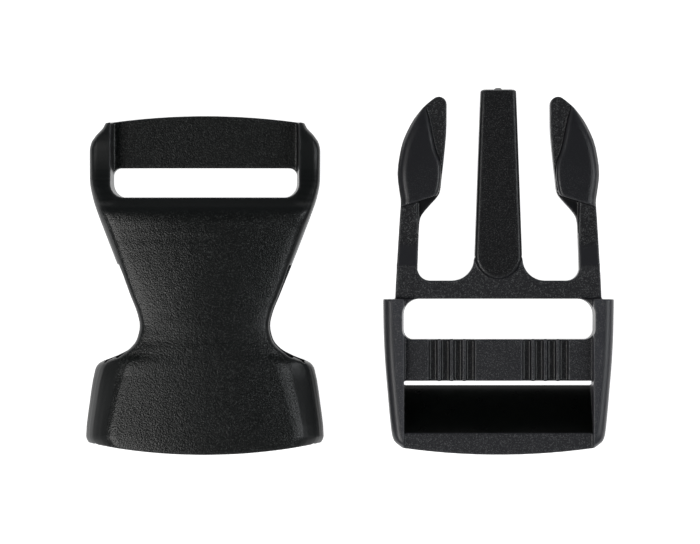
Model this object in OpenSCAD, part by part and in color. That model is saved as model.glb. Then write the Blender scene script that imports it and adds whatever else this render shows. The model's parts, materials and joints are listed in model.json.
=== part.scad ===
// Side release buckle for flat webbing, moulded in black plastic. A socket and a plug lie
// apart beside each other with their fronts up. Millimetres. +Y runs from the mouth of the
// socket, and from the end bar of the plug, towards the webbing bar and the arm tips.
// +Z is the front. Each half is drawn on its own axis with its lower end at Y 0.

/* [Layout] */
// Free space between the two halves as they lie
halves_gap = 8.3; // [3:0.1:30]
// Width of the webbing slots of both halves
slot_w = 26.4; // [25:0.1:26.8]
// Draft of the ends of those slots
slot_draft = 0.35; // [0:0.05:0.5]
// Height of the parting plane, halfway through both halves
mid_z = 4.7; // [4.6:0.05:5]

/* [Socket outline] */
// Length of the socket from the mouth to the top of its webbing bar
socket_l = 47.4; // [46:0.1:52]
// Width of the socket near its mouth, its widest place
mouth_w = 33.3; // [32.6:0.1:36]
// Width across the ears at their shoulder
ear_w = 30.7; // [30:0.1:31.5]
// Length of the ears from the mouth to their shoulder
ear_l = 12.05; // [11.6:0.05:12.8]
// Width of the waist between the side windows
waist_w = 18.2; // [16:0.1:21]
// Distance of the waist from the mouth
waist_y = 18; // [17.4:0.1:19]
// Width across the lugs beside the webbing slot
lug_w = 32.3; // [31.6:0.1:34]
// Width at the top, where the chamfers of the lugs end
tip_w = 27.7; // [27:0.1:28.4]
// Radius of the curved edge at the mouth, seen from the front
mouth_arc = 82; // [70:1:120]
// Radius of the arched top of the webbing bar
bar_arc = 95; // [80:1:140]

/* [Socket section] */
// Thickness of the socket at its mouth
socket_t = 9.4; // [9.2:0.05:10]
// Thickness of the lugs beside the webbing slot
lug_t = 6; // [5:0.1:7]
// Height of the crown of the socket's front over its edges
crown = 0.65; // [0.3:0.05:0.8]
// Angle at which the ears fall away beside their crease
ear_slope = 34; // [20:1:36]
// Distance of that crease from the side, at the mouth
ear_rim = 4.2; // [3.8:0.1:4.6]
// Length over which the crease bends
crease_soft = 2; // [1:0.1:2.2]
// Radius of the sides of the ears
ear_round = 3.4; // [2.6:0.1:3.6]
// Edge radius of the waist
waist_round = 1.1; // [0.8:0.05:1.2]
// Edge radius of the body above the waist
body_round = 1.8; // [1.2:0.05:2]
// Edge radius of the lugs
lug_round = 1; // [0.6:0.05:1.3]
// Height of the webbing slot of the socket
socket_slot_h = 4.15; // [4.1:0.05:5]
// Depth of the webbing bar along the buckle
bar_h = 7.35; // [6.5:0.05:8]
// Thickness of the webbing bar
bar_t = 1.8; // [1.4:0.1:3]
// Corner radius of the webbing slot on the body side
slot_round = 2; // [0.6:0.1:2]
// Corner radius of the webbing slot at the bar
bar_round = 1.1; // [0.4:0.1:1.9]
// Thickness of the side walls of the ears
side_wall = 1.4; // [1.3:0.05:1.6]

/* [Plug outline] */
// Width of the plug at the shoulders of its rails
plug_w = 32.2; // [32:0.1:34]
// Width of the plug at its end bar
end_w = 29.7; // [29.4:0.1:31]
// Length of the frame from the end bar to the shoulders
base_l = 21.7; // [21.4:0.1:24]
// Radius of the curved end, seen from the front
end_arc = 95; // [75:1:140]
// Depth of the crosspiece beyond the shoulders
cross_h = 2.6; // [2:0.1:3.2]
// Width of the crosspiece and of the arms at their roots
cross_w = 28.6; // [28.2:0.1:29]
// Height of the upper webbing slot
plug_slot_h = 5.65; // [4.4:0.05:6]
// Corner radius of the upper webbing slot at the grip bar
plug_slot_round = 1.4; // [0.5:0.1:1.8]
// Corner radius of the upper webbing slot at the crosspiece
cross_round = 2.2; // [1.2:0.1:2.4]
// Depth of the grip bar along the buckle
grip_h = 5.8; // [5:0.1:6]
// Gap between the grip bar and the foot of the end bar
slit_h = 0.7; // [0.5:0.05:0.9]
// Depth of the flat top of the end bar
strip_h = 2.95; // [2.4:0.05:3.6]

/* [Plug section] */
// Thickness of the frame
plug_t = 9.1; // [8.8:0.05:9.6]
// Edge radius of the rails
rail_round = 1.3; // [0.8:0.05:1.5]
// Height of the crown of the frame's front over its edges
frame_crown = 0.2; // [0:0.05:0.4]
// Depth of the top of the end bar below the frame's front
strip_drop = 0.8; // [0.5:0.05:1.2]
// Depth of the top of the grip bar below the frame's front
grip_drop = 1.7; // [1.2:0.05:2.2]
// Thickness of the grip bar
grip_t = 6; // [4:0.1:6.4]
// Thickness of the end bar
end_bar_t = 2; // [1.6:0.1:2.4]
// Grooves in each of the two groups on the grip bar
groove_n = 4; // [2:1:4]
// Width of a groove
groove_w = 1.15; // [0.8:0.05:1.4]
// Spacing of the grooves
groove_pitch = 1.74; // [1.6:0.02:2]
// Distance of the innermost grooves from the axis
groove_x = 3.93; // [3:0.05:4.2]
// Depth of the grooves
groove_d = 0.4; // [0.2:0.05:0.6]

/* [Guide] */
// Length of the guide beyond the shoulders
guide_l = 29.3; // [28.5:0.1:29.6]
// Width of the guide at its tip
guide_tip_w = 4.95; // [4.6:0.1:5.4]
// Width of the guide at its root
guide_root_w = 6.85; // [6.2:0.05:7]
// Thickness of the guide
guide_t = 5.2; // [4.8:0.05:5.6]
// Bevel along the edges of the guide
guide_bevel = 0.35; // [0.2:0.05:0.5]
// Fillet between the guide and the crosspiece
guide_fillet = 3.1; // [1.6:0.1:3.2]
// Width of the gate mark on the end of the guide
gate_w = 0.9; // [0.6:0.05:1.2]
// Height of the gate mark
gate_h = 0.25; // [0.15:0.05:0.4]

/* [Arms] */
// Length of an arm from its hinge to its tip
arm_l = 24; // [23.6:0.1:24.4]
// Height of the hinge above the shoulders
pivot_rise = 4.3; // [4:0.05:4.5]
// Width of the stem of an arm
stem_w = 2.9; // [2.6:0.05:3.2]
// Thickness of the stem of an arm and of the crosspiece
stem_t = 4.4; // [4:0.05:4.6]
// Width of the head of an arm
head_w = 7; // [6.8:0.05:7.1]
// Thickness of the raised pad on the head
pad_t = 6; // [5.6:0.05:6.05]
// Edge radius of the pad
pad_round = 0.5; // [0.3:0.05:0.7]
// Radius of the outer edges of the pad
pad_side = 1.2; // [0.7:0.1:1.3]
// Thickness of the arm beside the stem, below the catch
flare_t = 2.6; // [2:0.1:3.4]
// Angle of the catch across the arm
catch_angle = 18; // [14:1:24]
// Radius of the tip of an arm
tip_round = 1.1; // [0.9:0.05:1.2]
// Fillet between an arm and the crosspiece
arm_fillet = 1.75; // [1.2:0.05:1.8]

/* [Fits] */
// Free space around the pads inside the socket
pad_play = 0.1; // [0.05:0.01:0.15]
// Free space around the stems inside the socket
stem_play = 0.2; // [0.1:0.01:0.25]
// Free space beyond the tips of the plug inside the closed socket
end_play = 0.7; // [0.4:0.05:0.9]
// Running gap around the round root of an arm
hinge_play = 0.1; // [0.08:0.01:0.15]

/* [Hidden] */

plastic = "#2b2c2f";
fine = 240;                 // facets of the long exact arcs
cut = 1;                    // how far a cut runs past a face
cell = 3;                   // sections drawn between two rows of a table
socket_x = -(halves_gap + plug_w) / 2;
plug_x = (halves_gap + mouth_w) / 2;
guide_y = base_l + guide_l;
low_y = -max(socket_l, guide_y + gate_h) / 2;

// A plug that is pushed home stops with its shoulders on the ends of the ears
rail_x = (slot_w + plug_w) / 4;
closed_y = base_l - rail_x * rail_x / (2 * mouth_arc);
pivot_y = base_l + pivot_rise;
stem_x = (cross_w - stem_w) / 2 - 0.1;
tip_y = pivot_y + arm_l;
hall_t = pad_t + 2 * pad_play;
stem_hall_t = stem_t + 2 * stem_play;
slot_y = socket_l - bar_h - socket_slot_h;
slot_top = base_l + 0.05;
grip_y = slot_top - plug_slot_h - grip_h;
grip_top = plug_t - grip_drop;

// Smooth curves through the rows of a table: column 0 rises, column c is read at y
function rise(t, i, c) = (t[i + 1][c] - t[i][c]) / (t[i + 1][0] - t[i][0]);
function tangent(t, i, c) =
    i == 0 ? rise(t, 0, c) :
    i == len(t) - 1 ? rise(t, i - 1, c) :
    let (a = rise(t, i - 1, c), b = rise(t, i, c)) a * b <= 0 ? 0 : 2 * a * b / (a + b);
function row_at(t, y) = max([for (i = [0 : len(t) - 2]) if (i == 0 || t[i][0] <= y) i]);
function curve(t, y, c = 1) =
    let (i = row_at(t, y), h = t[i + 1][0] - t[i][0], u = (y - t[i][0]) / h)
    t[i][c] * (1 + 2 * u) * pow(1 - u, 2) + h * tangent(t, i, c) * u * pow(1 - u, 2)
    + t[i + 1][c] * u * u * (3 - 2 * u) + h * tangent(t, i + 1, c) * u * u * (u - 1);
function stations(t, n = cell) = concat(
    [for (i = [0 : len(t) - 2]) for (k = [0 : n - 1]) t[i][0] + (t[i + 1][0] - t[i][0]) * k / n],
    [t[len(t) - 1][0]]);
function arc(x, y, r, from, to, n = 8) =
    [for (k = [0 : n]) let (a = from + (to - from) * k / n) [x + r * cos(a), y + r * sin(a)]];
function mirrored(points) = [for (i = [len(points) - 1 : -1 : 0]) [-points[i][0], points[i][1]]];

// A solid through closed sections with equal numbers of points
module loft(rings) {
    n = len(rings[0]);
    last = (len(rings) - 1) * n;
    polyhedron(
        points = [for (ring = rings) each ring],
        faces = concat(
            [[for (i = [0 : n - 1]) i], [for (i = [n - 1 : -1 : 0]) last + i]],
            [for (j = [0 : len(rings) - 2]) for (i = [0 : n - 1])
                let (a = j * n + i, b = j * n + (i + 1) % n) each [[a, a + n, b + n], [a, b + n, b]]]));
}

// Section across a half at y: half width w, front height f with a crown, edge radius r, ear share e
// from 0 to 1 of the full slope, crease at the distance rim from the side
function section(y, w, f, crown, r, e, rim, back) =
    let (
        crease = w - rim,
        slope = e * ear_slope,
        nose = w - r * (1 - sin(slope)),
        under_slope = slope * 0.8,
        under = back + (r * 0.8 - back) * e,
        heel = w - under * (1 - sin(under_slope)),
        lean = function (x, angle) let (d = max(0, x - crease))
            tan(angle) * (d < crease_soft ? d * d / (2 * crease_soft) : d - crease_soft / 2),
        front = function (x) f - crown * pow(x / nose, 2) - lean(x, slope),
        xs = concat([for (k = [0 : 4]) crease * k / 4], [for (k = [1 : 4]) crease + (nose - crease) * k / 4]),
        low = lean(heel, under_slope),
        right = concat(
            [for (x = xs) [x, y, front(x)]],
            [for (k = [1 : 5]) let (a = slope + (90 - slope) * k / 5)
                [nose + r * (sin(a) - sin(slope)), y, front(nose) - r * (cos(slope) - cos(a))]],
            [for (k = [0 : 4]) let (a = 90 - (90 - under_slope) * k / 4)
                [heel + under * (sin(a) - sin(under_slope)), y, low + under * (cos(under_slope) - cos(a))]],
            [[crease, y, 0], [0, y, 0]]))
    concat(right, [for (i = [len(right) - 2 : -1 : 1]) [-right[i][0], y, right[i][2]]]);

// Rows: distance from the mouth, half width, front height, edge radius, ear share, crease distance
socket_rows = [
    [-0.2, mouth_w / 2 - 1.85, socket_t, ear_round, 1, ear_rim],
    [1.3, mouth_w / 2 - 0.6, socket_t, ear_round, 1, ear_rim],
    [2.5, mouth_w / 2, socket_t, ear_round, 1, ear_rim],
    [ear_l * 0.6, (mouth_w * 0.62 + ear_w * 0.38) / 2, socket_t, ear_round, 0.95, ear_rim + 0.4],
    [ear_l - 0.1, ear_w / 2, socket_t, ear_round, 0.8, ear_rim + 1],
    [ear_l + 0.75, ear_w / 2 - 0.6, socket_t, ear_round * 0.9, 0.65, ear_rim + 0.8],
    [ear_l + 1.7, ear_w / 2 - 2.9, socket_t, (ear_round + waist_round) / 2, 0.3, ear_rim],
    [ear_l + 2.7, waist_w / 2 + 1.5, socket_t, waist_round * 1.1, 0.1, ear_rim - 0.5],
    [waist_y - 1.9, waist_w / 2 + 0.4, socket_t - 0.05, waist_round, 0, ear_rim],
    [waist_y, waist_w / 2, socket_t - 0.05, waist_round, 0, ear_rim],
    [waist_y + 1.9, waist_w / 2 + 0.4, socket_t - 0.1, waist_round, 0, ear_rim],
    [waist_y + 4, waist_w / 2 + 1.25, socket_t - 0.15, waist_round, 0, ear_rim],
    [socket_l - 18, lug_w / 2 - 2.85, socket_t - 0.3, body_round, 0, ear_rim],
    [socket_l - 13.4, lug_w / 2 - 1.1, socket_t - 0.9, body_round, 0, ear_rim],
    [socket_l - 11.6, lug_w / 2 - 0.5, (socket_t + lug_t) / 2, body_round, 0, ear_rim],
    [socket_l - 9, lug_w / 2 - 0.03, lug_t + 0.3, lug_round, 0, ear_rim],
    [socket_l - 4.9, lug_w / 2, lug_t, lug_round, 0, ear_rim],
    [socket_l - 3.6, lug_w / 2 - 0.3, lug_t, lug_round, 0, ear_rim],
    [socket_l - 0.85, tip_w / 2, lug_t - 0.1, lug_round, 0, ear_rim],
    [socket_l + 0.2, tip_w / 2, lug_t - 0.1, lug_round, 0, ear_rim]];

module socket_body() {
    intersection() {
        loft([for (y = stations(socket_rows)) section(y, curve(socket_rows, y, 1),
            curve(socket_rows, y, 2), crown, curve(socket_rows, y, 3), curve(socket_rows, y, 4),
            curve(socket_rows, y, 5), 0.8)]);
        translate([0, mouth_arc, -cut]) cylinder(r = mouth_arc, h = socket_t + 2 * cut, $fn = fine);
        translate([0, socket_l - bar_arc, -cut]) cylinder(r = bar_arc, h = socket_t + 2 * cut, $fn = fine);
    }
}

// Plan of the space between the walls: the hall behind the mouth narrows to the catches, the
// windows open it to both sides, and a pocket takes the tips of the arms and of the guide
hall_w = mouth_w / 2 - 2.8;
catch_w = stem_x + stem_w / 2 - 1.9;
window_y = ear_l + 2;
window_top = tip_y - closed_y - 3.1;
pocket_w = stem_x - stem_w / 2 - 0.6;
hall_plan = [
    [0, -cut], [hall_w, -cut], [hall_w - 0.5, ear_l * 0.5], [catch_w, ear_l - 0.7], [catch_w, window_y],
    [mouth_w, window_y], [mouth_w, window_top], [pocket_w, window_top],
    [pocket_w, tip_y - closed_y + end_play - 1.4], [pocket_w - 1.4, tip_y - closed_y + end_play],
    [guide_root_w / 2 + stem_play, tip_y - closed_y + end_play],
    [guide_root_w / 2 + stem_play, guide_y + gate_h - closed_y + end_play],
    [0, guide_y + gate_h - closed_y + end_play]];

module socket_space() {
    translate([0, 0, mid_z - hall_t / 2]) linear_extrude(hall_t) {
        polygon(hall_plan);
        polygon([for (p = hall_plan) [-p[0], p[1]]]);
    }
    // The stems pass the catches in a lower space that reaches the side walls
    translate([0, 0, mid_z - stem_hall_t / 2]) linear_extrude(stem_hall_t) polygon([
        [side_wall - mouth_w / 2, -cut], [mouth_w / 2 - side_wall, -cut], [mouth_w / 2 - side_wall, 2],
        [ear_w / 2 - side_wall, ear_l], [ear_w / 2 - side_wall, window_y + 1],
        [side_wall - ear_w / 2, window_y + 1], [side_wall - ear_w / 2, ear_l], [side_wall - mouth_w / 2, 2]]);
}

// A through cut with round corners, through levels of [height, half width]
module slot_cut(y0, y1, r0, r1, levels) {
    loft([for (level = levels) let (
        w = level[1],
        side = concat(arc(w - r0, y0 + r0, r0, 270, 360), arc(w - r1, y1 - r1, r1, 0, 90)))
        [for (p = mirrored(concat(side, mirrored(side)))) [p[0], p[1], level[0]]]]);
}

// The slot of the socket narrows towards the back, also in the recess in front of its bar
function lug_slot_x(z) = slot_w / 2 - slot_draft * (1 - z / lug_t);
module socket_slot() {
    front = socket_t + cut;
    slot_cut(slot_y, slot_y + socket_slot_h, slot_round, bar_round,
        [[-cut, lug_slot_x(-cut)], [front, lug_slot_x(front)]]);
    translate([0, slot_y + socket_slot_h / 2, 0]) rotate([90, 0, 0]) mirror([0, 0, 1])
        linear_extrude(socket_l) polygon([[lug_slot_x(bar_t), bar_t], [lug_slot_x(front), front],
            [-lug_slot_x(front), front], [-lug_slot_x(bar_t), bar_t]]);
}

module socket() color(plastic) translate([socket_x, low_y, 0]) difference() {
    socket_body();
    socket_space();
    socket_slot();
}

// Rows: distance from the end bar, half width
plug_rows = [
    [-0.2, end_w / 2 - 2.8],
    [0.6, end_w / 2 - 1.9],
    [1.2, end_w / 2 - 1.1],
    [1.9, end_w / 2 - 0.3],
    [2.7, end_w / 2],
    [base_l * 0.2, (end_w * 0.83 + plug_w * 0.17) / 2],
    [base_l * 0.42, (end_w * 0.48 + plug_w * 0.52) / 2],
    [base_l * 0.62, (end_w * 0.2 + plug_w * 0.8) / 2],
    [base_l * 0.8, (end_w * 0.06 + plug_w * 0.94) / 2],
    [base_l, plug_w / 2]];

module frame_body() {
    intersection() {
        loft([for (y = stations(plug_rows))
            section(y, curve(plug_rows, y), plug_t, frame_crown, rail_round, 0, ear_rim, 0.9)]);
        translate([0, end_arc, -cut]) cylinder(r = end_arc, h = plug_t + 2 * cut, $fn = fine);
    }
}

// A prism across both rails from a profile of [distance from the end, height] points
module across(profile, w = slot_w) {
    translate([-w / 2, 0, 0]) rotate([90, 0, 90]) linear_extrude(w) polygon(profile);
}

// Opening above the slanted end bar, down to the slit before the grip bar
module end_space() {
    foot_y = grip_y - slit_h;
    across([[-cut, plug_t - strip_drop], [strip_h, plug_t - strip_drop], [foot_y, end_bar_t * 0.5],
        [foot_y, -cut], [grip_y, -cut], [grip_y, plug_t + cut], [-cut, plug_t + cut]]);
    // Hollow under the end bar
    across([[-cut, -cut], [-cut, plug_t - strip_drop - end_bar_t * 1.6],
        [strip_h * 0.6, plug_t - strip_drop - end_bar_t * 1.3], [foot_y - end_bar_t * 1.1, -0.05],
        [foot_y - end_bar_t * 1.1, -cut]], slot_w - 1);
}

module grip_space() {
    across([[grip_y - 0.01, grip_top], [grip_y - 0.01, plug_t + cut], [base_l, plug_t + cut], [base_l, grip_top]]);
    across([[grip_y - 0.01, -cut], [grip_y - 0.01, grip_top - grip_t], [base_l, grip_top - grip_t], [base_l, -cut]]);
    for (side = [-1, 1]) for (i = [0 : groove_n - 1])
        translate([side * (groove_x + i * groove_pitch) - groove_w / 2, grip_y - cut, grip_top - groove_d])
            cube([groove_w, grip_h + 2 * cut, plug_t]);
}

// The slot of the plug is narrowest at the parting plane
module upper_slot() {
    slot_cut(grip_y + grip_h, slot_top, plug_slot_round, cross_round,
        [[-cut, slot_w / 2 + slot_draft], [mid_z, slot_w / 2], [plug_t + cut, slot_w / 2 + slot_draft]]);
}

// Plan of the crosspiece with the roots of the arms and the fillets at the guide
module crosspiece() {
    top = base_l + cross_h;
    inner = stem_x - stem_w / 2;
    guide = guide_root_w / 2 - 0.05;
    side = concat(
        [[cross_w / 2, base_l - 2], [cross_w / 2 + 0.1, base_l + 0.2], [cross_w / 2, top],
        [stem_x + stem_w / 2, pivot_y], [inner, pivot_y]],
        arc(inner - arm_fillet, top + arm_fillet, arm_fillet, 0, -90),
        arc(guide + guide_fillet, top + guide_fillet, guide_fillet, 270, 180),
        [[guide - 0.5, top + guide_fillet]]);
    difference() {
        translate([0, 0, mid_z - stem_t / 2]) linear_extrude(stem_t) polygon(concat(side, mirrored(side)));
        for (x = [-stem_x, stem_x]) translate([x, pivot_y, 0])
            cylinder(r = stem_w / 2 + hinge_play, h = plug_t, $fn = 64);
    }
}

// The guide has bevelled edges and ends on the crosspiece in a round foot
guide_foot = base_l + cross_h + 0.25;
guide_rows = [[guide_foot, guide_root_w / 2], [guide_y - 0.2, guide_tip_w / 2]];
function guide_half(y) =
    let (w = curve(guide_rows, y), d = y - guide_foot)
    d >= w ? w : sqrt(max(w * w - pow(w - d, 2), 0.01));
function bevelled(y, w, h, b) = [[w - b, y, mid_z + h], [w, y, mid_z + h - b], [w, y, mid_z - h + b],
    [w - b, y, mid_z - h], [b - w, y, mid_z - h], [-w, y, mid_z - h + b], [-w, y, mid_z + h - b],
    [b - w, y, mid_z + h]];
module guide() {
    h = guide_t / 2;
    b = guide_bevel;
    tip = guide_tip_w / 2;
    foot = [for (a = [10 : 16 : 90]) guide_foot + guide_root_w / 2 * (1 - cos(a))];
    shaft = [for (y = stations(guide_rows, 6)) if (y > guide_foot + guide_root_w / 2) y];
    loft(concat(
        [for (y = concat(foot, shaft)) let (w = guide_half(y)) bevelled(y, w, h, min(b, w * 0.9))],
        [bevelled(guide_y, tip - b, h - b, b),
            bevelled(guide_y, gate_w / 2, gate_w / 2, gate_w / 8),
            bevelled(guide_y + gate_h, gate_w / 2, gate_w / 2, gate_w / 8)]));
}

module plug() color(plastic) translate([plug_x, low_y, 0]) difference() {
    union() {
        difference() {
            frame_body();
            end_space();
            grip_space();
        }
        crosspiece();
        guide();
    }
    upper_slot();
}

// Rows: share of the arm's length, share of the head's width that the edge lies outside the stem
arm_outer = [[0, 0], [0.304, -0.064], [0.3875, -0.083], [0.442, -0.057], [0.55, -0.017],
    [0.702, -0.086], [0.836, -0.273], [0.935, -0.519], [0.972, -0.66]];
arm_inner = [[0, 0], [0.254, 0.035], [0.296, 0.062], [0.318, 0.105], [0.37, 0.255], [0.42, 0.405],
    [0.445, 0.448], [0.517, 0.478], [0.654, 0.531], [0.833, 0.579], [0.94, 0.581]];
pad_inner = [[0.34, 0.19], [0.44, 0.41], [0.55, 0.465], [0.6, 0.46], [0.695, 0.35], [0.8, 0.276],
    [0.9, 0.20], [0.945, 0.15]];
function outer_x(s) = stem_x + stem_w / 2 + head_w * curve(arm_outer, s);
function inner_x(s, t) = stem_x - stem_w / 2 - head_w * curve(t, s);

module arm_base() {
    tip_x = inner_x(0.94, arm_inner) + tip_round;
    edge = concat(
        [for (s = stations(arm_outer)) [outer_x(s), pivot_y + arm_l * s]],
        arc(tip_x, tip_y - tip_round, tip_round, 45, 180),
        [for (s = stations([for (i = [len(arm_inner) - 1 : -1 : 0]) [-arm_inner[i][0]]]))
            [inner_x(-s, arm_inner), pivot_y - arm_l * s]]);
    translate([0, 0, mid_z - stem_t / 2]) {
        linear_extrude(stem_t) polygon(edge);
        translate([stem_x, pivot_y, 0]) cylinder(r = stem_w / 2, h = stem_t, $fn = 64);
    }
}

// The raised pad follows the outer edge, and its lower end is the catch
module pad() {
    rings = [for (s = stations(pad_inner)) let (
        y = pivot_y + arm_l * s,
        x0 = inner_x(s, pad_inner),
        x1 = outer_x(s),
        r = min(pad_round, (x1 - x0) * 0.4),
        h = pad_t / 2 * (1 - pow(max(0, s - 0.8) / 0.145, 2) / 6),
        q = min(pad_side, (x1 - x0) * 0.5),
        corner = function (x, z, r, from) [for (k = [0 : 4]) let (a = from - 22.5 * k)
            [x + r * cos(a), y, z + r * sin(a)]])
        concat(corner(x1 - q, mid_z + h - q, q, 90), corner(x1 - q, mid_z - h + q, q, 0),
            corner(x0 + r, mid_z - h + r, r, -90), corner(x0 + r, mid_z + h - r, r, -180))];
    catch_y = pivot_y + arm_l * 0.37;
    difference() {
        loft(rings);
        translate([stem_x, catch_y, 0]) rotate(-catch_angle) translate([-head_w * 1.5, -head_w, -cut])
            cube([head_w * 3, head_w, plug_t + 2 * cut]);
    }
}

// Below the catch the arm is thinner beside its stem
module flare_cut() {
    for (z = [mid_z + flare_t / 2, mid_z - flare_t / 2 - pad_t])
        translate([stem_x - stem_w / 2 - head_w, pivot_y + arm_l * 0.2, z]) cube([head_w, arm_l * 0.25, pad_t]);
}

module arm() {
    difference() {
        arm_base();
        flare_cut();
    }
    pad();
}

module right_arm() color(plastic) translate([plug_x, low_y, 0]) arm();
module left_arm() color(plastic) translate([plug_x, low_y, 0]) mirror([1, 0, 0]) arm();

socket();
plug();
left_arm();
right_arm();
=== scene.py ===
import json
import bpy
import bmesh
import numpy as np
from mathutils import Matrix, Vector


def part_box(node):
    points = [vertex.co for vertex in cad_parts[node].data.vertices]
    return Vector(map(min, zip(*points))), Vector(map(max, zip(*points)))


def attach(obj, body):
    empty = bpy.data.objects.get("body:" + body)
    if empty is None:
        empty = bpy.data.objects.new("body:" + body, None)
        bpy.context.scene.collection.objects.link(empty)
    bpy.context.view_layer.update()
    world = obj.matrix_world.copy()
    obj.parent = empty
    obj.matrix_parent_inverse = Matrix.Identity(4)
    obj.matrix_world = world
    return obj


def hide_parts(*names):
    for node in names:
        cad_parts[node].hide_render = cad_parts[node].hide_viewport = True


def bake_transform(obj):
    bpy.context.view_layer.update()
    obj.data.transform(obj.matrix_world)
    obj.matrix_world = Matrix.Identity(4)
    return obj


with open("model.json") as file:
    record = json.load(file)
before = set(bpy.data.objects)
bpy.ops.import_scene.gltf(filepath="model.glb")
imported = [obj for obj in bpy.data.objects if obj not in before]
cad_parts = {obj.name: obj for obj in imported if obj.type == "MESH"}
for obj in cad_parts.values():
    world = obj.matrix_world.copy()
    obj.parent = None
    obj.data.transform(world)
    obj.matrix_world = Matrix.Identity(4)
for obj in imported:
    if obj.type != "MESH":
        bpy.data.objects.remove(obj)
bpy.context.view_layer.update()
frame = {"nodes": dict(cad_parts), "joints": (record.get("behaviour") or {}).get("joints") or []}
print("frame loaded")

mm = 0.001
socketLow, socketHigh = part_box("socket")
plugLow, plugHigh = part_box("plug")
socketX = (socketLow[0] + socketHigh[0]) / 2
plugX = (plugLow[0] + plugHigh[0]) / 2
lowY = plugLow[1]        # both halves start on this line
armPivots = {joint["child"]: joint["pos_m"] for joint in frame["joints"]}

viewSettings = {"height": 0.85, "midHeight": 0.0047, "shiftX": 0.00007, "shiftY": -0.00013, "widthSeen": 0.098,
                "sensor": 36, "nearest": 0.05}
camera = bpy.data.cameras.new("overhead")
camera.sensor_width = viewSettings["sensor"]
camera.lens = viewSettings["sensor"] * viewSettings["height"] / viewSettings["widthSeen"]
camera.clip_start = viewSettings["nearest"]
cameraObject = bpy.data.objects.new("overhead", camera)
cameraObject.location = (viewSettings["shiftX"], viewSettings["shiftY"], viewSettings["height"] + viewSettings["midHeight"])
bpy.context.collection.objects.link(cameraObject)
bpy.context.scene.camera = cameraObject

stageSettings = {"half": 1.2, "below": 0.00002, "grey": 0.85, "glow": 1.0, "roughness": 0.9, "specular": 0.1,
                 "worldGrey": 1.0, "worldStrength": 0.02, "ringStrength": 0.16, "ringFall": 1.5}
bpy.context.scene.view_settings.view_transform = "Standard"


def newMesh(name, vertices, faces):
    mesh = bpy.data.meshes.new(name)
    mesh.from_pydata(vertices, [], faces)
    made = bpy.data.objects.new(name, mesh)
    bpy.context.collection.objects.link(made)
    return made


def mathNode(tree, operation, a, b=None, c=None):
    node = tree.nodes.new("ShaderNodeMath")
    node.operation = operation
    for slot, value in enumerate((a, b, c)):
        if value is None:
            continue
        if isinstance(value, (int, float)):
            node.inputs[slot].default_value = value
        else:
            tree.links.new(value, node.inputs[slot])
    return node.outputs[0]


half, below = stageSettings["half"], -stageSettings["below"]
corners = [(-half, -half, below), (half, -half, below), (half, half, below), (-half, half, below)]
floor = newMesh("floor", corners, [(0, 1, 2, 3)])
floorPaper = bpy.data.materials.new("floorPaper")
floorPaper.use_nodes = True
paperShader = floorPaper.node_tree.nodes["Principled BSDF"]
paperShader.inputs["Base Color"].default_value = (stageSettings["grey"],) * 3 + (1,)
paperShader.inputs["Roughness"].default_value = stageSettings["roughness"]
paperShader.inputs["Specular IOR Level"].default_value = stageSettings["specular"]
paperShader.inputs["Emission Color"].default_value = (1, 1, 1, 1)
paperShader.inputs["Emission Strength"].default_value = stageSettings["glow"]
floor.data.materials.append(floorPaper)

world = bpy.data.worlds.new("studio")
world.use_nodes = True
world.node_tree.nodes["Background"].inputs["Color"].default_value = (stageSettings["worldGrey"],) * 3 + (1,)
# a soft ring of light round the horizon, which fades towards the zenith
sky = world.node_tree
direction = sky.nodes.new("ShaderNodeSeparateXYZ")
sky.links.new(sky.nodes.new("ShaderNodeTexCoord").outputs["Generated"], direction.inputs[0])
upward = mathNode(sky, "MAXIMUM", direction.outputs["Z"], 0)
ring = mathNode(sky, "POWER", mathNode(sky, "SUBTRACT", 1, upward), stageSettings["ringFall"])
strength = mathNode(sky, "MULTIPLY_ADD", ring, stageSettings["ringStrength"], stageSettings["worldStrength"])
sky.links.new(strength, sky.nodes["Background"].inputs["Strength"])
bpy.context.scene.world = world

# place, aim, size and power of each soft light
lampSettings = [
    {"name": "leftBox", "at": (-0.44, -0.18, 0.7), "size": (0.3, 0.4), "power": 2.25, "colour": (1, 0.99, 0.975)},
    {"name": "rightBox", "at": (0.6, 0, 0.6), "size": (0.2, 0.6), "power": 1.5, "colour": (0.95, 0.98, 1)},
    {"name": "frontBox", "at": (0.1, -0.72, 0.48), "size": (0.6, 0.3), "power": 0.2, "colour": (1, 1, 1)},
]
for lamp in lampSettings:
    light = bpy.data.lights.new(lamp["name"], "AREA")
    light.shape = "RECTANGLE"
    light.size, light.size_y = lamp["size"]
    light.energy = lamp["power"]
    light.color = lamp["colour"]
    lightObject = bpy.data.objects.new(lamp["name"], light)
    lightObject.location = lamp["at"]
    lightObject.rotation_euler = (-Vector(lamp["at"])).to_track_quat("-Z", "Y").to_euler()
    bpy.context.collection.objects.link(lightObject)
print("camera, floor and lights set")


def joinedCopy(name, nodes, extra=()):
    # the solids of one moulding, and what fills the gaps between them, as one mesh
    sheet = bmesh.new()
    for source in [frame["nodes"][node].data for node in nodes] + [made.data for made in extra]:
        sheet.from_mesh(source)
    bmesh.ops.remove_doubles(sheet, verts=sheet.verts, dist=0.000002)
    mesh = bpy.data.meshes.new(name)
    sheet.to_mesh(mesh)
    sheet.free()
    mesh.materials.clear()
    joined = bpy.data.objects.new(name, mesh)
    bpy.context.collection.objects.link(joined)
    for made in extra:
        bpy.data.objects.remove(made)
    return joined


def frozen(made):
    evaluated = made.evaluated_get(bpy.context.evaluated_depsgraph_get())
    mesh = bpy.data.meshes.new_from_object(evaluated)
    made.modifiers.clear()
    made.data = mesh
    return made


def countTriangles(mesh):
    counts = np.empty(len(mesh.polygons), dtype=np.int32)
    mesh.polygons.foreach_get("loop_total", counts)
    return int((counts - 2).sum())


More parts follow.
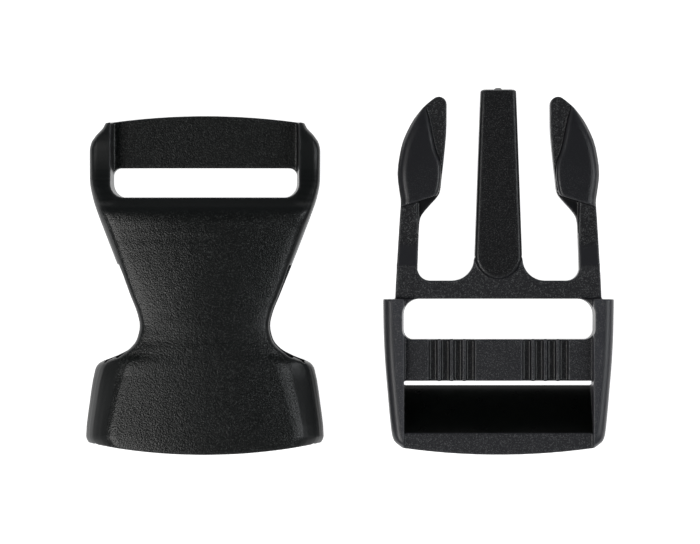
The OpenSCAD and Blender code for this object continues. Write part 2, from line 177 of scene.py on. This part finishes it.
def moulded(made, settings, sculpt=None):
    # one closed skin with soft edges round all that the mesh holds
    remesh = made.modifiers.new("remesh", "REMESH")
    remesh.mode = "VOXEL"
    remesh.voxel_size = settings["voxel"]
    relax = made.modifiers.new("relax", "SMOOTH")
    relax.factor = settings["relaxFactor"]
    relax.iterations = settings["relaxSteps"]
    frozen(made)
    if sculpt:
        sculpt(made.data)
    thin = made.modifiers.new("thin", "DECIMATE")
    thin.ratio = min(1.0, settings["triangles"] / countTriangles(made.data))
    frozen(made)
    made.data.shade_smooth()
    return made


def block(name, low, high):
    corners = [(x, y, z) for x in (low[0], high[0]) for y in (low[1], high[1]) for z in (low[2], high[2])]
    return newMesh(name, corners, [(0, 1, 3, 2), (4, 6, 7, 5), (0, 4, 5, 1), (2, 3, 7, 6), (0, 2, 6, 4), (1, 5, 7, 3)])


def points(mesh):
    flat = np.empty(len(mesh.vertices) * 3)
    mesh.vertices.foreach_get("co", flat)
    normals = np.empty(len(mesh.vertices) * 3)
    mesh.vertices.foreach_get("normal", normals)
    return flat.reshape(-1, 3), normals.reshape(-1, 3)


def measured(mesh, middleX):
    # for each point also its distance from the middle line, its way from the low edge and its height, in mm
    place, normal = points(mesh)
    return place, normal, np.abs(place[:, 0] - middleX) / mm, (place[:, 1] - lowY) / mm, place[:, 2] / mm


def movePoints(mesh, place):
    mesh.vertices.foreach_set("co", place.ravel())
    mesh.update()


def store(mesh, name, values):
    layer = mesh.attributes.new(name, "FLOAT", "POINT")
    layer.data.foreach_set("value", np.clip(values, 0, 1).astype(np.float32))


def ramp(value, low, high):
    part = np.clip((value - low) / (high - low), 0, 1)
    return part * part * (3 - 2 * part)


def along(value, rows):
    return np.interp(value, [row[0] for row in rows], [row[1] for row in rows])


def within(value, limits):
    return (value > limits[0]) * (value < limits[1])


def edgeMask(mesh, sharp):
    # how far each point stands out from its neighbours, and a share of how far they stand out
    place, normal = points(mesh)
    pairs = np.empty(len(mesh.edges) * 2, dtype=np.int64)
    mesh.edges.foreach_get("vertices", pairs)
    a, b = pairs.reshape(-1, 2).T
    total = np.zeros(len(place))
    count = np.zeros(len(place))
    step = place[b] - place[a]
    length = np.linalg.norm(step, axis=1) + 1e-12
    np.add.at(total, a, -(step * normal[a]).sum(axis=1) / length ** 2)
    np.add.at(total, b, (step * normal[b]).sum(axis=1) / length ** 2)
    np.add.at(count, a, 1)
    np.add.at(count, b, 1)
    bend = total / np.maximum(count, 1) * mm
    for _ in range(3):
        spread = np.zeros(len(place))
        np.add.at(spread, a, bend[b])
        np.add.at(spread, b, bend[a])
        bend = 0.5 * bend + 0.5 * spread / np.maximum(count, 1)
    return np.clip(bend / sharp, 0, 1)


# the socket's outline: y from the mouth and half the width there, in mm
socketSides = [
    (0, 15.0), (2.5, 16.6), (12, 15.3), (13.4, 13.9), (14.7, 10.9), (16, 9.7), (18, 9.15),
    (20, 9.65), (22, 10.4), (29.4, 13.3), (35, 15.6), (38, 16.15), (43, 16.1), (47.4, 13.5),
]
softFront = {
    "crownRows": [(0, 0.7), (11, 0.7), (16.5, 0.2), (30, 0.35)],        # y, and how far the front drops at its sides
    "crownSides": [(0, 15.5), (12, 15.5), (18, 11.5), (22, 10.4)],      # y, and how far from the middle the drop is full
    "crownEnd": (31, 34), "rim": 0.2, "rimWidth": 2.4, "rimStart": (14, 18),
    "lift": 0.22, "liftUp": (29.5, 33.6), "liftDown": (33.6, 35.7),
    "lugFrom": 34.6, "lugTo": 43, "lugFade": 1, "lugMiddle": 13.9, "lugInner": (12.2, 13.4), "lugSoft": 1.5,
    "crestStep": 0.25, "crestWidth": 0.35, "crestShare": 95, "crestReach": 16, "frontHeights": (4, 6.5),
}


def evenLugs(x, y, z):
    # the crest of the lugs is measured step by step and evened out by a bell curve
    step, count = softFront["crestStep"], softFront["crestReach"]
    steps = np.arange(softFront["lugFrom"] - 1, softFront["lugTo"] + 2, step)
    onCrest = np.abs(x - softFront["lugMiddle"]) < softFront["crestWidth"]
    crest = np.array([np.percentile(z[(np.abs(y - at) < step) & onCrest], softFront["crestShare"]) for at in steps])
    weight = np.exp(-0.5 * (np.arange(-count, count + 1) * step / softFront["lugSoft"]) ** 2)
    even = np.convolve(np.pad(crest, count, mode="edge"), weight / weight.sum(), mode="valid")
    lug = ramp(x, *softFront["lugInner"]) * ramp(y, softFront["lugFrom"], softFront["lugFrom"] + softFront["lugFade"])
    lug = lug * (1 - ramp(y, softFront["lugTo"] - softFront["lugFade"], softFront["lugTo"]))
    return np.interp(y, steps, even - crest) * lug


def softenFront(mesh):
    # the slow curves of the front, which the facets of the solid only step through
    place, normal, x, y, z = measured(mesh, socketX)
    side = along(y, socketSides)
    ends = 1 - ramp(y, *softFront["crownEnd"])
    crownSide = np.maximum(side, along(y, softFront["crownSides"]))
    shift = -along(y, softFront["crownRows"]) * np.clip(x / crownSide, 0, 1) ** 2 * ends
    rim = np.clip(1 - (side - x) / softFront["rimWidth"], 0, 1) ** 2 * ends * ramp(y, *softFront["rimStart"])
    shift -= softFront["rim"] * rim
    shift += softFront["lift"] * ramp(y, *softFront["liftUp"]) * (1 - ramp(y, *softFront["liftDown"]))
    shift += evenLugs(x, y, z)
    place[:, 2] += mm * shift * ramp(z, *softFront["frontHeights"])
    movePoints(mesh, place)


socketSettings = {"voxel": 0.000125, "relaxFactor": 0.5, "relaxSteps": 4, "triangles": 185000, "edgeSharp": 1.1}
socketSkin = moulded(joinedCopy("socketBody", ["socket"]), socketSettings, softenFront)
print("socket skin", len(socketSkin.data.polygons))

plugSettings = {"voxel": 0.00012, "relaxFactor": 0.5, "relaxSteps": 3, "triangles": 210000, "edgeSharp": 1.1,
                "stemHalfWidth": 0.00145, "stemHalfThick": 0.0022, "seatDepth": 0.002, "seatAbove": 0.0006,
                "cutAbove": 0.0001, "cutReachX": 0.003, "cutReachY": 0.002, "armReach": 0.0085, "guideReach": 0.0042,
                "bendEnd": 0.0052}
ribSettings = {"count": 3, "pitch": 0.00174, "firstX": 0.0048, "width": 0.0005, "height": 0.0005, "top": 0.00748,
               "fromY": 0.01025, "toY": 0.01615, "corner": 0.00014, "cornerSteps": 4}


def buildRibTree():
    # a row of rounded bars: the crests between the grooves of the grip bar
    tree = bpy.data.node_groups.new("gripRibs", "GeometryNodeTree")
    sockets = {}
    floats = [(name, "NodeSocketFloat") for name in ("Pitch", "Width", "Height", "Length", "Corner")]
    for name, kind in [("Count", "NodeSocketInt")] + floats + [("Material", "NodeSocketMaterial")]:
        sockets[name] = tree.interface.new_socket(name=name, in_out="INPUT", socket_type=kind).identifier
    tree.interface.new_socket(name="Geometry", in_out="OUTPUT", socket_type="NodeSocketGeometry")
    given, result = tree.nodes.new("NodeGroupInput"), tree.nodes.new("NodeGroupOutput")
    link = tree.links.new
    profile = tree.nodes.new("GeometryNodeCurvePrimitiveQuadrilateral")
    link(given.outputs["Width"], profile.inputs["Width"])
    link(given.outputs["Height"], profile.inputs["Height"])
    rounded = tree.nodes.new("GeometryNodeFilletCurve")
    rounded.mode = "POLY"
    rounded.inputs["Count"].default_value = ribSettings["cornerSteps"]
    link(profile.outputs[0], rounded.inputs["Curve"])
    link(given.outputs["Corner"], rounded.inputs["Radius"])
    ends = tree.nodes.new("ShaderNodeCombineXYZ")
    link(given.outputs["Length"], ends.inputs["Y"])
    spine = tree.nodes.new("GeometryNodeCurvePrimitiveLine")
    link(ends.outputs[0], spine.inputs["End"])
    bar = tree.nodes.new("GeometryNodeCurveToMesh")
    bar.inputs["Fill Caps"].default_value = True
    link(spine.outputs[0], bar.inputs["Curve"])
    link(rounded.outputs[0], bar.inputs["Profile Curve"])
    row = tree.nodes.new("GeometryNodeMeshLine")
    link(given.outputs["Count"], row.inputs["Count"])
    step = tree.nodes.new("ShaderNodeCombineXYZ")
    link(given.outputs["Pitch"], step.inputs["X"])
    link(step.outputs[0], row.inputs["Offset"])
    placed = tree.nodes.new("GeometryNodeInstanceOnPoints")
    link(row.outputs[0], placed.inputs["Points"])
    link(bar.outputs[0], placed.inputs["Instance"])
    real = tree.nodes.new("GeometryNodeRealizeInstances")
    link(placed.outputs[0], real.inputs[0])
    finish = tree.nodes.new("GeometryNodeSetMaterial")
    link(real.outputs[0], finish.inputs["Geometry"])
    link(given.outputs["Material"], finish.inputs["Material"])
    link(finish.outputs[0], result.inputs[0])
    return tree, sockets


ribTree, ribSockets = buildRibTree()


def ribRow(side):
    made = newMesh("ribs", [], [])
    maker = made.modifiers.new("ribs", "NODES")
    maker.node_group = ribTree
    for name, value in (("Count", ribSettings["count"]), ("Pitch", side * ribSettings["pitch"]),
                        ("Width", ribSettings["width"]), ("Height", ribSettings["height"]),
                        ("Length", ribSettings["toY"] - ribSettings["fromY"]), ("Corner", ribSettings["corner"])):
        maker[ribSockets[name]] = value
    frozen(made)
    shift = Vector((plugX + side * ribSettings["firstX"], lowY + ribSettings["fromY"],
                    ribSettings["top"] - ribSettings["height"] / 2))
    for vertex in made.data.vertices:
        vertex.co += shift
    return made


fills = [ribRow(side) for side in (-1, 1)]
# a block through each arm's round seat, so that arm and crosspiece are one moulding until they are parted
for child, pivot in armPivots.items():
    wide, thick = plugSettings["stemHalfWidth"], plugSettings["stemHalfThick"]
    fills.append(block("fill", (pivot[0] - wide, pivot[1] - plugSettings["seatDepth"], pivot[2] - thick),
                       (pivot[0] + wide, pivot[1] + plugSettings["seatAbove"], pivot[2] + thick)))

# the polished slope of the end bar, in mm, and how its faces stand
slopePlane = {"halfWidth": 12.9, "along": (3.7, 9.2), "facing": 0.5, "lowest": 2, "reach": 0.12,
              "faceZ": (0.3, 0.97), "faceY": 0.2}


def flattenSlope(mesh):
    # the slope becomes a true plane, so it shows no ripple
    place, normal, x, y, z = measured(mesh, plugX)
    near = (x < slopePlane["halfWidth"]) & within(y, slopePlane["along"])
    near &= (normal[:, 2] > slopePlane["facing"]) & (z > slopePlane["lowest"])
    rise, base = np.polyfit(y[near], z[near], 1)
    off = base + rise * y - z
    near &= np.abs(off) < slopePlane["reach"]
    print("slope", round(float(rise), 3), int(near.sum()), round(float(np.abs(off[near]).max()), 3))
    place[near, 2] += off[near] * mm
    movePoints(mesh, place)


plugSkin = moulded(joinedCopy("plugBody", ["plug", "left_arm", "right_arm"], fills), plugSettings, flattenSlope)
print("plug skin", len(plugSkin.data.polygons))


def insideArm(center, pivot, cutY):
    reached = abs(center[0] - pivot[0]) < plugSettings["armReach"] and center[1] > cutY
    return reached and abs(center[0] - plugX) > plugSettings["guideReach"]


def nearCut(center, pivot, cutY):
    return abs(center[0] - pivot[0]) < plugSettings["cutReachX"] and abs(center[1] - cutY) < plugSettings["cutReachY"]


def partedArm(name, pivot, cutY):
    # cuts one arm off the plug's skin, and closes both ends of the cut
    sheet = bmesh.new()
    sheet.from_mesh(plugSkin.data)
    near = [f for f in sheet.faces if nearCut(f.calc_center_median(), pivot, cutY)]
    geometry = list({v for f in near for v in f.verts}) + list({e for f in near for e in f.edges}) + near
    bmesh.ops.bisect_plane(sheet, geom=geometry, plane_co=(0, cutY, 0), plane_no=(0, 1, 0), dist=1e-7)
    arm = sheet.copy()
    for part, keepsArm in ((arm, True), (sheet, False)):
        lost = [f for f in part.faces if insideArm(f.calc_center_median(), pivot, cutY) != keepsArm]
        bmesh.ops.delete(part, geom=lost, context="FACES")
        rim = [e for e in part.edges if e.is_boundary]
        for edge in rim:
            edge.smooth = False
        bmesh.ops.holes_fill(part, edges=rim, sides=0)
        bmesh.ops.triangulate(part, faces=[f for f in part.faces if len(f.verts) > 4])
    mesh = bpy.data.meshes.new(name)
    arm.to_mesh(mesh)
    arm.free()
    sheet.to_mesh(plugSkin.data)
    sheet.free()
    made = bpy.data.objects.new(name, mesh)
    bpy.context.collection.objects.link(made)
    mesh.shade_smooth()
    return made


cutY = {child: pivot[1] + plugSettings["cutAbove"] for child, pivot in armPivots.items()}
leftSkin = partedArm("leftArm", armPivots["left_release"], cutY["left_release"])
rightSkin = partedArm("rightArm", armPivots["right_release"], cutY["right_release"])
plugSkin.data.shade_smooth()
print("arms parted", len(leftSkin.data.polygons), len(rightSkin.data.polygons))

# how light each part of the socket is, and where its front is grained, in mm
socketTone = {"smooth": 0.12, "grain": 0.0, "bar": 0.0, "band": 0.12}
socketGrain = {
    "insetRows": [(0, 2.7), (12, 3.1), (15, 0.75)],        # y, and how far inside the edge the grain begins
    "fadeWidth": 0.55, "facing": (0.6, 0.8), "heights": (4, 5),
    "slotBand": (32.9, 34.6), "bandHalfWidth": 13.4, "bandTo": 36,
    "barStart": (38.4, 38.8), "barHalfWidth": 12.9, "barFacing": (0.7, 0.9),
}


def storeMasks(mesh, grain, fine, tone, sharp):
    for name, values in (("grain", grain), ("fineGrain", fine), ("tone", tone), ("edge", edgeMask(mesh, sharp))):
        store(mesh, name, values)


def maskSocket():
    place, normal, x, y, z = measured(socketSkin.data, socketX)
    inset = along(y, socketGrain["insetRows"])
    fade = socketGrain["fadeWidth"] / 2
    band = ramp(y, *socketGrain["slotBand"])
    grain = ramp(along(y, socketSides) - x, inset - fade, inset + fade)
    grain *= (1 - band) * ramp(normal[:, 2], *socketGrain["facing"]) * ramp(z, *socketGrain["heights"])
    bar = ramp(y, *socketGrain["barStart"]) * (x < socketGrain["barHalfWidth"])
    bar = bar * ramp(normal[:, 2], *socketGrain["barFacing"])
    band = band * (1 - bar) * (x < socketGrain["bandHalfWidth"]) * (y < socketGrain["bandTo"])
    tone = np.full(len(x), socketTone["smooth"])
    for name, where in (("grain", grain), ("bar", bar), ("band", band)):
        tone += (socketTone[name] - socketTone["smooth"]) * where
    storeMasks(socketSkin.data, grain, bar, tone, socketSettings["edgeSharp"])


# where each zone of the plug lies, in mm; a zone that fades gives the two ends of its fade
plugZones = {
    "sides": [(0, 13.5), (2.7, 14.85), (11, 15.7), (21.6, 16.1), (21.7, 30), (60, 30)],        # y, and half the width there
    "facing": (0.7, 0.9), "frameTo": 21.72, "railInner": 13.15, "railEdge": (0.95, 1.55),
    "grip": (10, 16.4), "grooves": (3.1, 10), "grooveDepth": (-7.22, -7.1), "slope": (3.05, 9.7),
    "guideHalfWidth": 3.6, "guideFrom": 24.6, "guideHeights": (6.9, 7.15),
    "armInner": 4.5, "armFrom": 25.9, "bandStart": (26.2, 26.6), "bandEnd": (29.1, 29.5), "padHeights": (7.15, 7.35),
    "smoothPad": (36.6, 41.6), "smoothPadSlant": 0.6, "smoothPadMiddle": 12,
    "web": (32, 37.5), "webInner": 11.4, "webDepth": (-6.35, -6.15),
}
# how light each zone is, where a later zone covers the ones before it, and how much of its speckle it loses; the web
# under each catch, the grooves and the guide are painted darker as shade, and the rails painted lighter as highlight
plugTone = {"strip": 0.35, "cross": 0.21, "tip": 0.08, "grip": 0.32, "rail": 0.8, "railSide": 0.5, "groove": 0.0,
            "guide": 0.0, "stemBand": 0.34, "pad": 0.26, "web": 0.0}
plugPlain = {"railSide": 1, "guide": 0.4, "web": 1, "groove": 0.6, "stemBand": 1, "pad": 0.7, "smoothPad": 0.8, "slope": 1}


def maskPlug(skin):
    place, normal, x, y, z = measured(skin.data, plugX)
    inside = x <= plugZones["railInner"]
    rail = ~inside * (y < plugZones["frameTo"])
    arm = (x > plugZones["armInner"]) * (y > plugZones["armFrom"])
    grip = inside * within(y, plugZones["grip"])
    pad = arm * ramp(z, *plugZones["padHeights"])
    slant = y + plugZones["smoothPadSlant"] * (x - plugZones["smoothPadMiddle"])
    zones = {
        "strip": np.ones(len(x)),
        "cross": y > plugZones["frameTo"],
        "tip": arm,
        "grip": grip,
        # the rails are painted much lighter, their outer sides less so: a painted highlight for the light their tops
        # catch
        "rail": rail,
        "railSide": rail * (1 - ramp(along(y, plugZones["sides"]) - x, *plugZones["railEdge"])),
        # the groove floors are painted darker: painted shade in the recesses
        "groove": grip * within(x, plugZones["grooves"]) * ramp(-z, *plugZones["grooveDepth"]),
        # the guide is painted darker: a painted dark reflection of what lies above it
        "guide": (x < plugZones["guideHalfWidth"]) * (y > plugZones["guideFrom"]) * ramp(z, *plugZones["guideHeights"]),
        "stemBand": arm * ramp(y, *plugZones["bandStart"]) * (1 - ramp(y, *plugZones["bandEnd"])),
        "pad": pad,
        # the web under each catch is painted near black: painted shade in the undercut
        "web": arm * within(y, plugZones["web"]) * ramp(-z, *plugZones["webDepth"]) * (x < plugZones["webInner"]),
        "smoothPad": pad * ramp(slant, *plugZones["smoothPad"]),
        "slope": inside * within(y, plugZones["slope"]),
    }
    tone = np.zeros(len(x))
    for name, level in plugTone.items():
        tone += (level - tone) * zones[name]
    fine = ramp(normal[:, 2], *plugZones["facing"])
    for name, share in plugPlain.items():
        fine *= 1 - share * zones[name]
    storeMasks(skin.data, np.zeros(len(x)), fine, tone, plugSettings["edgeSharp"])


maskSocket()
for skin in (plugSkin, leftSkin, rightSkin):
    maskPlug(skin)
print("grain and edges marked")


leatherGrainAndGlintSettings = {
    "scale": 3000.0, "warp": 0.35, "warpScale": 0.5, "warpDetail": 2, "cellSoftness": 0.6, "cellDepth": -0.9,
    "speckleNoiseScale": 0.95, "speckleNoiseDetail": 2, "speckleNoiseRoughness": 0.6, "fleckFrom": 0.54, "fleckGain": 10, "fleckSoft": 0.2,
}
# the light rims: partly rubbing, partly a painted highlight where the edges catch the lamps
rimWearAndSheenSettings = {"amount": 0.6, "noiseScale": 900, "noiseDetail": 3, "gain": 1.2, "base": 0.2}


def groupSockets(tree, inputs, outputs):
    for name, kind, value in inputs:
        socket = tree.interface.new_socket(name=name, in_out="INPUT", socket_type=kind)
        if value is not None:
            socket.default_value = value
    for name, kind in outputs:
        tree.interface.new_socket(name=name, in_out="OUTPUT", socket_type=kind)
    return tree.nodes.new("NodeGroupInput"), tree.nodes.new("NodeGroupOutput")


def colourMix(tree, factor, a, b):
    node = tree.nodes.new("ShaderNodeMix")
    node.data_type = "RGBA"
    for socket, value in ((node.inputs["Factor"], factor), (node.inputs[6], a), (node.inputs[7], b)):
        if isinstance(value, (int, float, tuple)):
            socket.default_value = value
        else:
            tree.links.new(value, socket)
    return node.outputs[2]


def buildLeatherGrainAndGlints():
    # soft wrinkled pebbles, as spark-eroded moulds leave them, and light flecks on them as painted glints
    tree = bpy.data.node_groups.new("leatherGrainAndGlints", "ShaderNodeTree")
    given, result = groupSockets(tree, [("Vector", "NodeSocketVector", None),
                                        ("Scale", "NodeSocketFloat", leatherGrainAndGlintSettings["scale"]),
                                        ("Warp", "NodeSocketFloat", leatherGrainAndGlintSettings["warp"])],
                                 [("Height", "NodeSocketFloat"), ("Fleck", "NodeSocketFloat")])
    link = tree.links.new
    warp = tree.nodes.new("ShaderNodeTexNoise")
    warp.inputs["Detail"].default_value = leatherGrainAndGlintSettings["warpDetail"]
    link(given.outputs["Vector"], warp.inputs["Vector"])
    link(mathNode(tree, "MULTIPLY", given.outputs["Scale"], leatherGrainAndGlintSettings["warpScale"]), warp.inputs["Scale"])
    offset = tree.nodes.new("ShaderNodeVectorMath")
    offset.operation = "SCALE"
    link(warp.outputs["Color"], offset.inputs[0])
    link(mathNode(tree, "DIVIDE", given.outputs["Warp"], given.outputs["Scale"]), offset.inputs["Scale"])
    moved = tree.nodes.new("ShaderNodeVectorMath")
    link(given.outputs["Vector"], moved.inputs[0])
    link(offset.outputs[0], moved.inputs[1])
    cells = tree.nodes.new("ShaderNodeTexVoronoi")
    cells.feature = "SMOOTH_F1"
    cells.inputs["Smoothness"].default_value = leatherGrainAndGlintSettings["cellSoftness"]
    link(moved.outputs[0], cells.inputs["Vector"])
    link(given.outputs["Scale"], cells.inputs["Scale"])
    speckleNoise = tree.nodes.new("ShaderNodeTexNoise")
    speckleNoise.inputs["Detail"].default_value = leatherGrainAndGlintSettings["speckleNoiseDetail"]
    speckleNoise.inputs["Roughness"].default_value = leatherGrainAndGlintSettings["speckleNoiseRoughness"]
    link(given.outputs["Vector"], speckleNoise.inputs["Vector"])
    link(mathNode(tree, "MULTIPLY", given.outputs["Scale"], leatherGrainAndGlintSettings["speckleNoiseScale"]), speckleNoise.inputs["Scale"])
    height = mathNode(tree, "MULTIPLY_ADD", cells.outputs["Distance"], leatherGrainAndGlintSettings["cellDepth"], speckleNoise.outputs["Fac"])
    link(height, result.inputs["Height"])
    # light flecks where the noise peaks: painted glints of the grain
    above = mathNode(tree, "SUBTRACT", speckleNoise.outputs["Fac"], leatherGrainAndGlintSettings["fleckFrom"])
    steep = mathNode(tree, "MULTIPLY", above, leatherGrainAndGlintSettings["fleckGain"])
    fleck = mathNode(tree, "SMOOTH_MIN", steep, 1, leatherGrainAndGlintSettings["fleckSoft"])
    link(fleck, result.inputs["Fleck"])
    return tree


def buildRimWearAndSheen():
    # rims painted lighter, partly as rubbing and partly as a painted highlight, broken up by a coarse noise
    tree = bpy.data.node_groups.new("rimWearAndSheen", "ShaderNodeTree")
    given, result = groupSockets(tree, [("Vector", "NodeSocketVector", None), ("Edge", "NodeSocketFloat", 0.0),
                                        ("Amount", "NodeSocketFloat", rimWearAndSheenSettings["amount"])], [("Mask", "NodeSocketFloat")])
    noise = tree.nodes.new("ShaderNodeTexNoise")
    noise.inputs["Scale"].default_value = rimWearAndSheenSettings["noiseScale"]
    noise.inputs["Detail"].default_value = rimWearAndSheenSettings["noiseDetail"]
    tree.links.new(given.outputs["Vector"], noise.inputs["Vector"])
    patches = mathNode(tree, "MULTIPLY_ADD", noise.outputs["Fac"], rimWearAndSheenSettings["gain"], rimWearAndSheenSettings["base"])
    broken = mathNode(tree, "MULTIPLY", given.outputs["Edge"], patches)
    mask = mathNode(tree, "MINIMUM", mathNode(tree, "MULTIPLY", broken, given.outputs["Amount"]), 1)
    tree.links.new(mask, result.inputs["Mask"])
    return tree


leatherGrainAndGlints = buildLeatherGrainAndGlints()
rimWearAndSheen = buildRimWearAndSheen()


def attribute(tree, name):
    node = tree.nodes.new("ShaderNodeAttribute")
    node.attribute_name = name
    return node.outputs["Fac"]


def groupNode(tree, group, where, settings):
    node = tree.nodes.new("ShaderNodeGroup")
    node.node_tree = group
    tree.links.new(where, node.inputs["Vector"])
    for name, value in settings.items():
        node.inputs[name].default_value = value
    return node


def blackPlastic(name, settings):
    # black moulding: its tone by zone, with painted shade and painted light in some zones, light flecks as painted
    # glints where it is grained, and rims painted light as wear and painted highlight
    material = bpy.data.materials.new(name)
    material.use_nodes = True
    tree = material.node_tree
    link = tree.links.new
    shader = tree.nodes["Principled BSDF"]
    where = tree.nodes.new("ShaderNodeTexCoord").outputs["Object"]
    coarse, fine = attribute(tree, "grain"), attribute(tree, "fineGrain")
    coarseGrain = groupNode(tree, leatherGrainAndGlints, where, {"Scale": settings["coarseScale"]})
    fineGrain = groupNode(tree, leatherGrainAndGlints, where, {"Scale": settings["fineScale"]})
    # rims painted lighter and glossier: wear and a painted highlight
    wearAndSheen = groupNode(tree, rimWearAndSheen, where, {"Amount": settings["wearAndSheen"]})
    link(attribute(tree, "edge"), wearAndSheen.inputs["Edge"])

    def grained(output, coarseAmount, fineAmount):
        # one output of both grains, each where it belongs
        return [mathNode(tree, "MULTIPLY", mathNode(tree, "MULTIPLY", mask, group.outputs[output]), amount)
                for mask, group, amount in ((coarse, coarseGrain, coarseAmount), (fine, fineGrain, fineAmount))]

    # the flecks lighten the grained zones in spots: painted glints
    fleck = mathNode(tree, "MAXIMUM", *grained("Fleck", settings["coarseFleck"], settings["fineFleck"]))
    colour = colourMix(tree, attribute(tree, "tone"), settings["darkColour"], settings["lightColour"])
    colour = colourMix(tree, fleck, colour, settings["fleckColour"])
    # the rim colour: a painted highlight along the edges, partly wear
    colour = colourMix(tree, wearAndSheen.outputs["Mask"], colour, settings["rimColour"])
    link(colour, shader.inputs["Base Color"])
    added = settings["grainRoughness"] - settings["smoothRoughness"]
    roughness = mathNode(tree, "MULTIPLY_ADD", mathNode(tree, "MAXIMUM", coarse, fine), added, settings["smoothRoughness"])
    roughness = mathNode(tree, "MULTIPLY_ADD", wearAndSheen.outputs["Mask"], -settings["rimPolish"], roughness)
    link(roughness, shader.inputs["Roughness"])
    shader.inputs["IOR"].default_value = settings["ior"]

    bump = tree.nodes.new("ShaderNodeBump")
    bump.inputs["Strength"].default_value = 1
    bump.inputs["Distance"].default_value = mm
    link(mathNode(tree, "ADD", *grained("Height", settings["coarseDepth"], settings["fineDepth"])), bump.inputs["Height"])
    link(bump.outputs["Normal"], shader.inputs["Normal"])
    return material


# each plastic's colours hold its own tone, and also painted glints in the flecks and a painted highlight on the rims
socketFinishAndPaintedLight = {
    "coarseScale": 4800, "fineScale": 5400, "coarseDepth": 0.03, "fineDepth": 0.024, "coarseFleck": 0.42, "fineFleck": 0.4,
    "darkColour": (0.0012, 0.0026, 0.0026, 1), "lightColour": (0.045, 0.049, 0.052, 1),
    "fleckColour": (0.095, 0.102, 0.1, 1), "rimColour": (0.11, 0.113, 0.12, 1), "wearAndSheen": 0.4, "rimPolish": 0.08,
    "smoothRoughness": 0.34, "grainRoughness": 0.34, "ior": 1.5,
}
plugFinishAndPaintedLight = {
    "coarseScale": 3800, "fineScale": 6800, "coarseDepth": 0.03, "fineDepth": 0.024, "coarseFleck": 0.2, "fineFleck": 0.58,
    "darkColour": (0.0018, 0.0022, 0.0036, 1), "lightColour": (0.063, 0.065, 0.078, 1),
    "fleckColour": (0.195, 0.2, 0.205, 1), "rimColour": (0.15, 0.154, 0.165, 1), "wearAndSheen": 0.38, "rimPolish": 0.08,
    "smoothRoughness": 0.34, "grainRoughness": 0.36, "ior": 1.5,
}
socketPlastic = blackPlastic("socketPlastic", socketFinishAndPaintedLight)
plugPlastic = blackPlastic("plugPlastic", plugFinishAndPaintedLight)

# the slope's dark colour and weak reflection are painted shade; its mottle is random tone and its low roughness a real
# polish
slopeShadeAndFinish = {"colour": (0.0026, 0.0034, 0.0032, 1), "mottle": (0.005, 0.0062, 0.0056, 1), "scale": 700, "detail": 4,
               "roughness": 0.24, "roughnessAdded": 0.1, "specular": 0.16}


def buildSlopePlastic(settings):
    # the polished slope of the end bar, painted nearly black as shade, with its reflection turned down
    material = bpy.data.materials.new("slopePlastic")
    material.use_nodes = True
    tree = material.node_tree
    shader = tree.nodes["Principled BSDF"]
    noise = tree.nodes.new("ShaderNodeTexNoise")
    noise.inputs["Scale"].default_value = settings["scale"]
    noise.inputs["Detail"].default_value = settings["detail"]
    tree.links.new(tree.nodes.new("ShaderNodeTexCoord").outputs["Object"], noise.inputs["Vector"])
    colour = colourMix(tree, noise.outputs["Fac"], settings["colour"], settings["mottle"])
    tree.links.new(colour, shader.inputs["Base Color"])
    roughness = mathNode(tree, "MULTIPLY_ADD", noise.outputs["Fac"], settings["roughnessAdded"], settings["roughness"])
    tree.links.new(roughness, shader.inputs["Roughness"])
    shader.inputs["Specular IOR Level"].default_value = settings["specular"]
    return material


slopePlastic = buildSlopePlastic(slopeShadeAndFinish)
socketSkin.data.materials.append(socketPlastic)
for skin in (plugSkin, leftSkin, rightSkin):
    skin.data.materials.append(plugPlastic)
plugSkin.data.materials.append(slopePlastic)
slopeFaces = 0
for face in plugSkin.data.polygons:
    x, y, z = face.center
    onSlope = within((y - lowY) / mm, plugZones["slope"]) and abs(x - plugX) / mm < plugZones["railInner"]
    if onSlope and within(face.normal[2], slopePlane["faceZ"]) and face.normal[1] > slopePlane["faceY"]:
        face.material_index = 1
        slopeFaces += 1
print("slope faces", slopeFaces)
print("plastics made")

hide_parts("socket")
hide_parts("plug")
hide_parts("left_arm")
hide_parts("right_arm")
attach(socketSkin, "halves")
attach(plugSkin, "halves")
for child, skin in (("left_release", leftSkin), ("right_release", rightSkin)):
    x, y, z = armPivots[child]
    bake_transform(skin)
